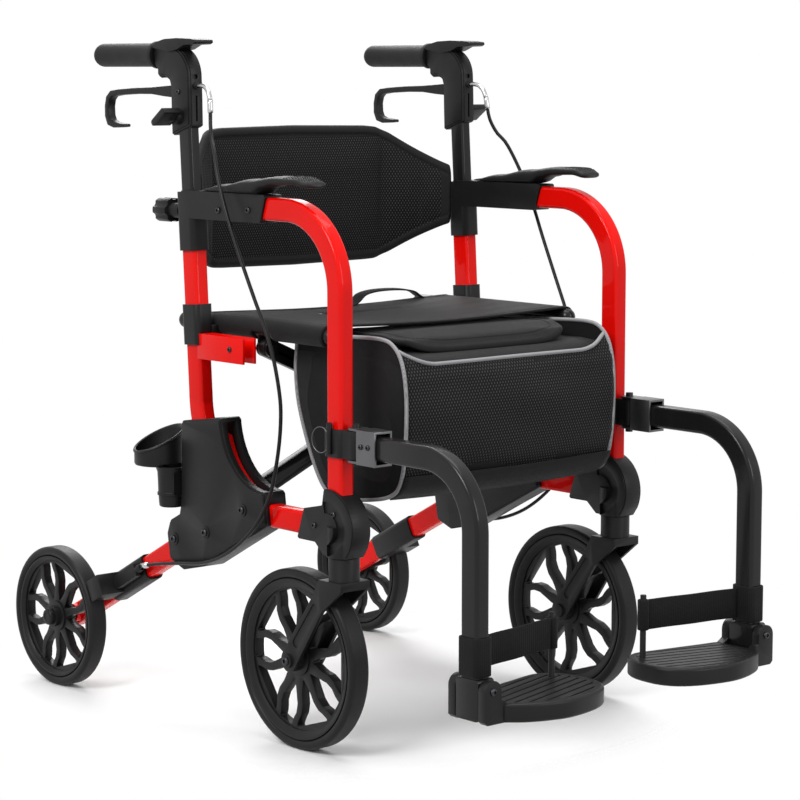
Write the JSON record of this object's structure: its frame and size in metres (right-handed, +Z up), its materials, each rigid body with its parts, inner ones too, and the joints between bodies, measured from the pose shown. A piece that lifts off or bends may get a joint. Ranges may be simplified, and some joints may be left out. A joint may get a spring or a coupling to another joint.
{
  "type": "rollator transport chair",
  "caption": "Folding rollator that turns into a transport chair, with sling seat, bag, hoop backrest, hand brakes, swivel front wheels and swing-away footrests.",
  "frame": {"origin": "centre of the footprint of the bounding box, on the floor", "axes": "+X forward, +Y to the sitter's left, +Z up"},
  "size_m": [1.0102, 0.61, 0.92],
  "materials": {
    "red_paint": "gloss metallic",
    "black_plastic": "fine grain",
    "grey_plastic": "moulded",
    "soft_rubber": "matt",
    "grey_tyre": "smooth",
    "black_metal": "satin",
    "steel": "zinc plated",
    "black_cloth": "woven",
    "cable_rubber": "sheath"
  },
  "bodies": {
    "right_frame": {"right_front_arch": "red_paint", "right_rear_post": "red_paint", "right_rear_leg": "red_paint", "right_gusset": "black_plastic", "right_arm_bracket": "black_plastic", "right_arm_pad": "soft_rubber", "right_caster_hub": "black_plastic", "right_seat_saddle": "black_plastic", "right_wheel_brake": "black_plastic", "right_foot_clamp": "black_plastic", "right_brake_cable": "cable_rubber", "cane_holder": "black_plastic", "backrest": "black_cloth"},
    "right_handle": {"right_handle_tube": "black_metal", "right_handle_housing": "black_plastic", "right_grip": "soft_rubber"},
    "right_lever": {"right_brake_lever": "black_plastic"},
    "right_knob": {"right_height_knob": "black_plastic"},
    "right_rear_wheel": {"right_rear_rim": "grey_plastic", "right_rear_tyre": "grey_tyre"},
    "right_caster": {"right_caster_fork": "black_metal"},
    "right_front_wheel": {"right_front_rim": "grey_plastic", "right_front_tyre": "grey_tyre"},
    "right_footrest": {"right_foot_bracket": "steel", "right_foot_tube": "black_metal", "right_heel_strap": "black_cloth"},
    "right_plate": {"right_footplate": "black_plastic"},
    "left_frame": {"left_front_arch": "red_paint", "left_rear_post": "red_paint", "left_rear_leg": "red_paint", "left_gusset": "black_plastic", "left_arm_bracket": "black_plastic", "left_arm_pad": "soft_rubber", "left_caster_hub": "black_plastic", "left_seat_saddle": "black_plastic", "left_wheel_brake": "black_plastic", "left_foot_clamp": "black_plastic", "left_brake_cable": "cable_rubber"},
    "left_handle": {"left_handle_tube": "black_metal", "left_handle_housing": "black_plastic", "left_grip": "soft_rubber"},
    "left_lever": {"left_brake_lever": "black_plastic"},
    "left_knob": {"left_height_knob": "black_plastic"},
    "left_rear_wheel": {"left_rear_rim": "grey_plastic", "left_rear_tyre": "grey_tyre"},
    "left_caster": {"left_caster_fork": "black_metal"},
    "left_front_wheel": {"left_front_rim": "grey_plastic", "left_front_tyre": "grey_tyre"},
    "left_footrest": {"left_foot_bracket": "steel", "left_foot_tube": "black_metal", "left_heel_strap": "black_cloth"},
    "left_plate": {"left_footplate": "black_plastic"},
    "rising_bar": {"rising_brace": "black_metal"},
    "falling_bar": {"falling_brace": "black_metal"},
    "right_rail": {"right_seat_rail": "black_metal", "seat_sling": "black_cloth", "under_seat_bag": "black_cloth"},
    "left_rail": {"left_seat_rail": "black_metal"}
  },
  "joints": [
    {"name": "fold", "type": "hinge", "parent": "right_frame", "child": "rising_bar", "pos_m": [-0.022, -0.212, 0.325], "axis": [1, 0, 0], "range_deg": [0, 50], "deforming": ["seat_sling", "under_seat_bag", "backrest", "right_heel_strap", "left_heel_strap"]},
    {"name": "brace_cross", "type": "hinge", "parent": "rising_bar", "child": "falling_bar", "pos_m": [-0.014, 0, 0.419], "axis": [1, 0, 0], "range_deg": [-100, 0]},
    {"name": "left_side_fold", "type": "hinge", "parent": "falling_bar", "child": "left_frame", "pos_m": [-0.006, 0.212, 0.325], "axis": [1, 0, 0], "range_deg": [0, 50]},
    {"name": "right_rail_lift", "type": "hinge", "parent": "falling_bar", "child": "right_rail", "pos_m": [-0.006, -0.212, 0.513], "axis": [1, 0, 0], "range_deg": [0, 50]},
    {"name": "left_rail_lift", "type": "hinge", "parent": "rising_bar", "child": "left_rail", "pos_m": [-0.022, 0.212, 0.513], "axis": [1, 0, 0], "range_deg": [-50, 0]},
    {"name": "right_rear_wheel_spin", "type": "hinge", "parent": "right_frame", "child": "right_rear_wheel", "pos_m": [-0.405, -0.283, 0.1], "axis": [0, 1, 0], "continuous": true},
    {"name": "right_caster_swivel", "type": "hinge", "parent": "right_frame", "child": "right_caster", "pos_m": [0.19, -0.244, 0.28], "axis": [0, 0, 1], "continuous": true},
    {"name": "right_front_wheel_spin", "type": "hinge", "parent": "right_caster", "child": "right_front_wheel", "pos_m": [0.105, -0.244, 0.119], "axis": [0, 1, 0], "continuous": true},
    {"name": "right_handle_height", "type": "slide", "parent": "right_frame", "child": "right_handle", "axis": [-0.061, 0, 0.9981], "range_m": [-0.055, 0.055], "deforming": ["right_brake_cable"]},
    {"name": "right_brake_squeeze", "type": "hinge", "parent": "right_handle", "child": "right_lever", "pos_m": [-0.1406, -0.244, 0.849], "axis": [0, 1, 0], "range_deg": [-12, 10], "stiffness_Nm_per_rad": 4},
    {"name": "right_knob_turn", "type": "hinge", "parent": "right_frame", "child": "right_knob", "pos_m": [-0.19, -0.244, 0.69], "axis": [1, 0, 0], "continuous": true},
    {"name": "right_footrest_swing", "type": "hinge", "parent": "right_frame", "child": "right_footrest", "pos_m": [0.215, -0.244, 0.411], "axis": [0, 0, -1], "range_deg": [0, 90]},
    {"name": "right_plate_flip", "type": "hinge", "parent": "right_footrest", "child": "right_plate", "pos_m": [0.437, -0.244, 0.14], "axis": [1, 0, 0], "range_deg": [0, 90]},
    {"name": "left_rear_wheel_spin", "type": "hinge", "parent": "left_frame", "child": "left_rear_wheel", "pos_m": [-0.405, 0.283, 0.1], "axis": [0, 1, 0], "continuous": true},
    {"name": "left_caster_swivel", "type": "hinge", "parent": "left_frame", "child": "left_caster", "pos_m": [0.19, 0.244, 0.28], "axis": [0, 0, 1], "continuous": true},
    {"name": "left_front_wheel_spin", "type": "hinge", "parent": "left_caster", "child": "left_front_wheel", "pos_m": [0.105, 0.244, 0.119], "axis": [0, 1, 0], "continuous": true},
    {"name": "left_handle_height", "type": "slide", "parent": "left_frame", "child": "left_handle", "axis": [-0.061, 0, 0.9981], "range_m": [-0.055, 0.055], "deforming": ["left_brake_cable"]},
    {"name": "left_brake_squeeze", "type": "hinge", "parent": "left_handle", "child": "left_lever", "pos_m": [-0.1406, 0.244, 0.849], "axis": [0, 1, 0], "range_deg": [-12, 10], "stiffness_Nm_per_rad": 4},
    {"name": "left_knob_turn", "type": "hinge", "parent": "left_frame", "child": "left_knob", "pos_m": [-0.19, 0.244, 0.69], "axis": [1, 0, 0], "continuous": true},
    {"name": "left_footrest_swing", "type": "hinge", "parent": "left_frame", "child": "left_footrest", "pos_m": [0.215, 0.244, 0.411], "axis": [0, 0, 1], "range_deg": [0, 90]},
    {"name": "left_plate_flip", "type": "hinge", "parent": "left_footrest", "child": "left_plate", "pos_m": [0.437, 0.244, 0.14], "axis": [-1, 0, 0], "range_deg": [0, 90]}
  ],
  "couplings": [
    {"joint": "brace_cross", "follows": "fold", "ratio": -2},
    {"joint": "left_side_fold", "follows": "fold", "ratio": 1},
    {"joint": "right_rail_lift", "follows": "fold", "ratio": 1},
    {"joint": "left_rail_lift", "follows": "fold", "ratio": -1},
    {"joint": "right_plate_flip", "follows": "fold", "ratio": 1.8},
    {"joint": "left_plate_flip", "follows": "fold", "ratio": 1.8}
  ]
}
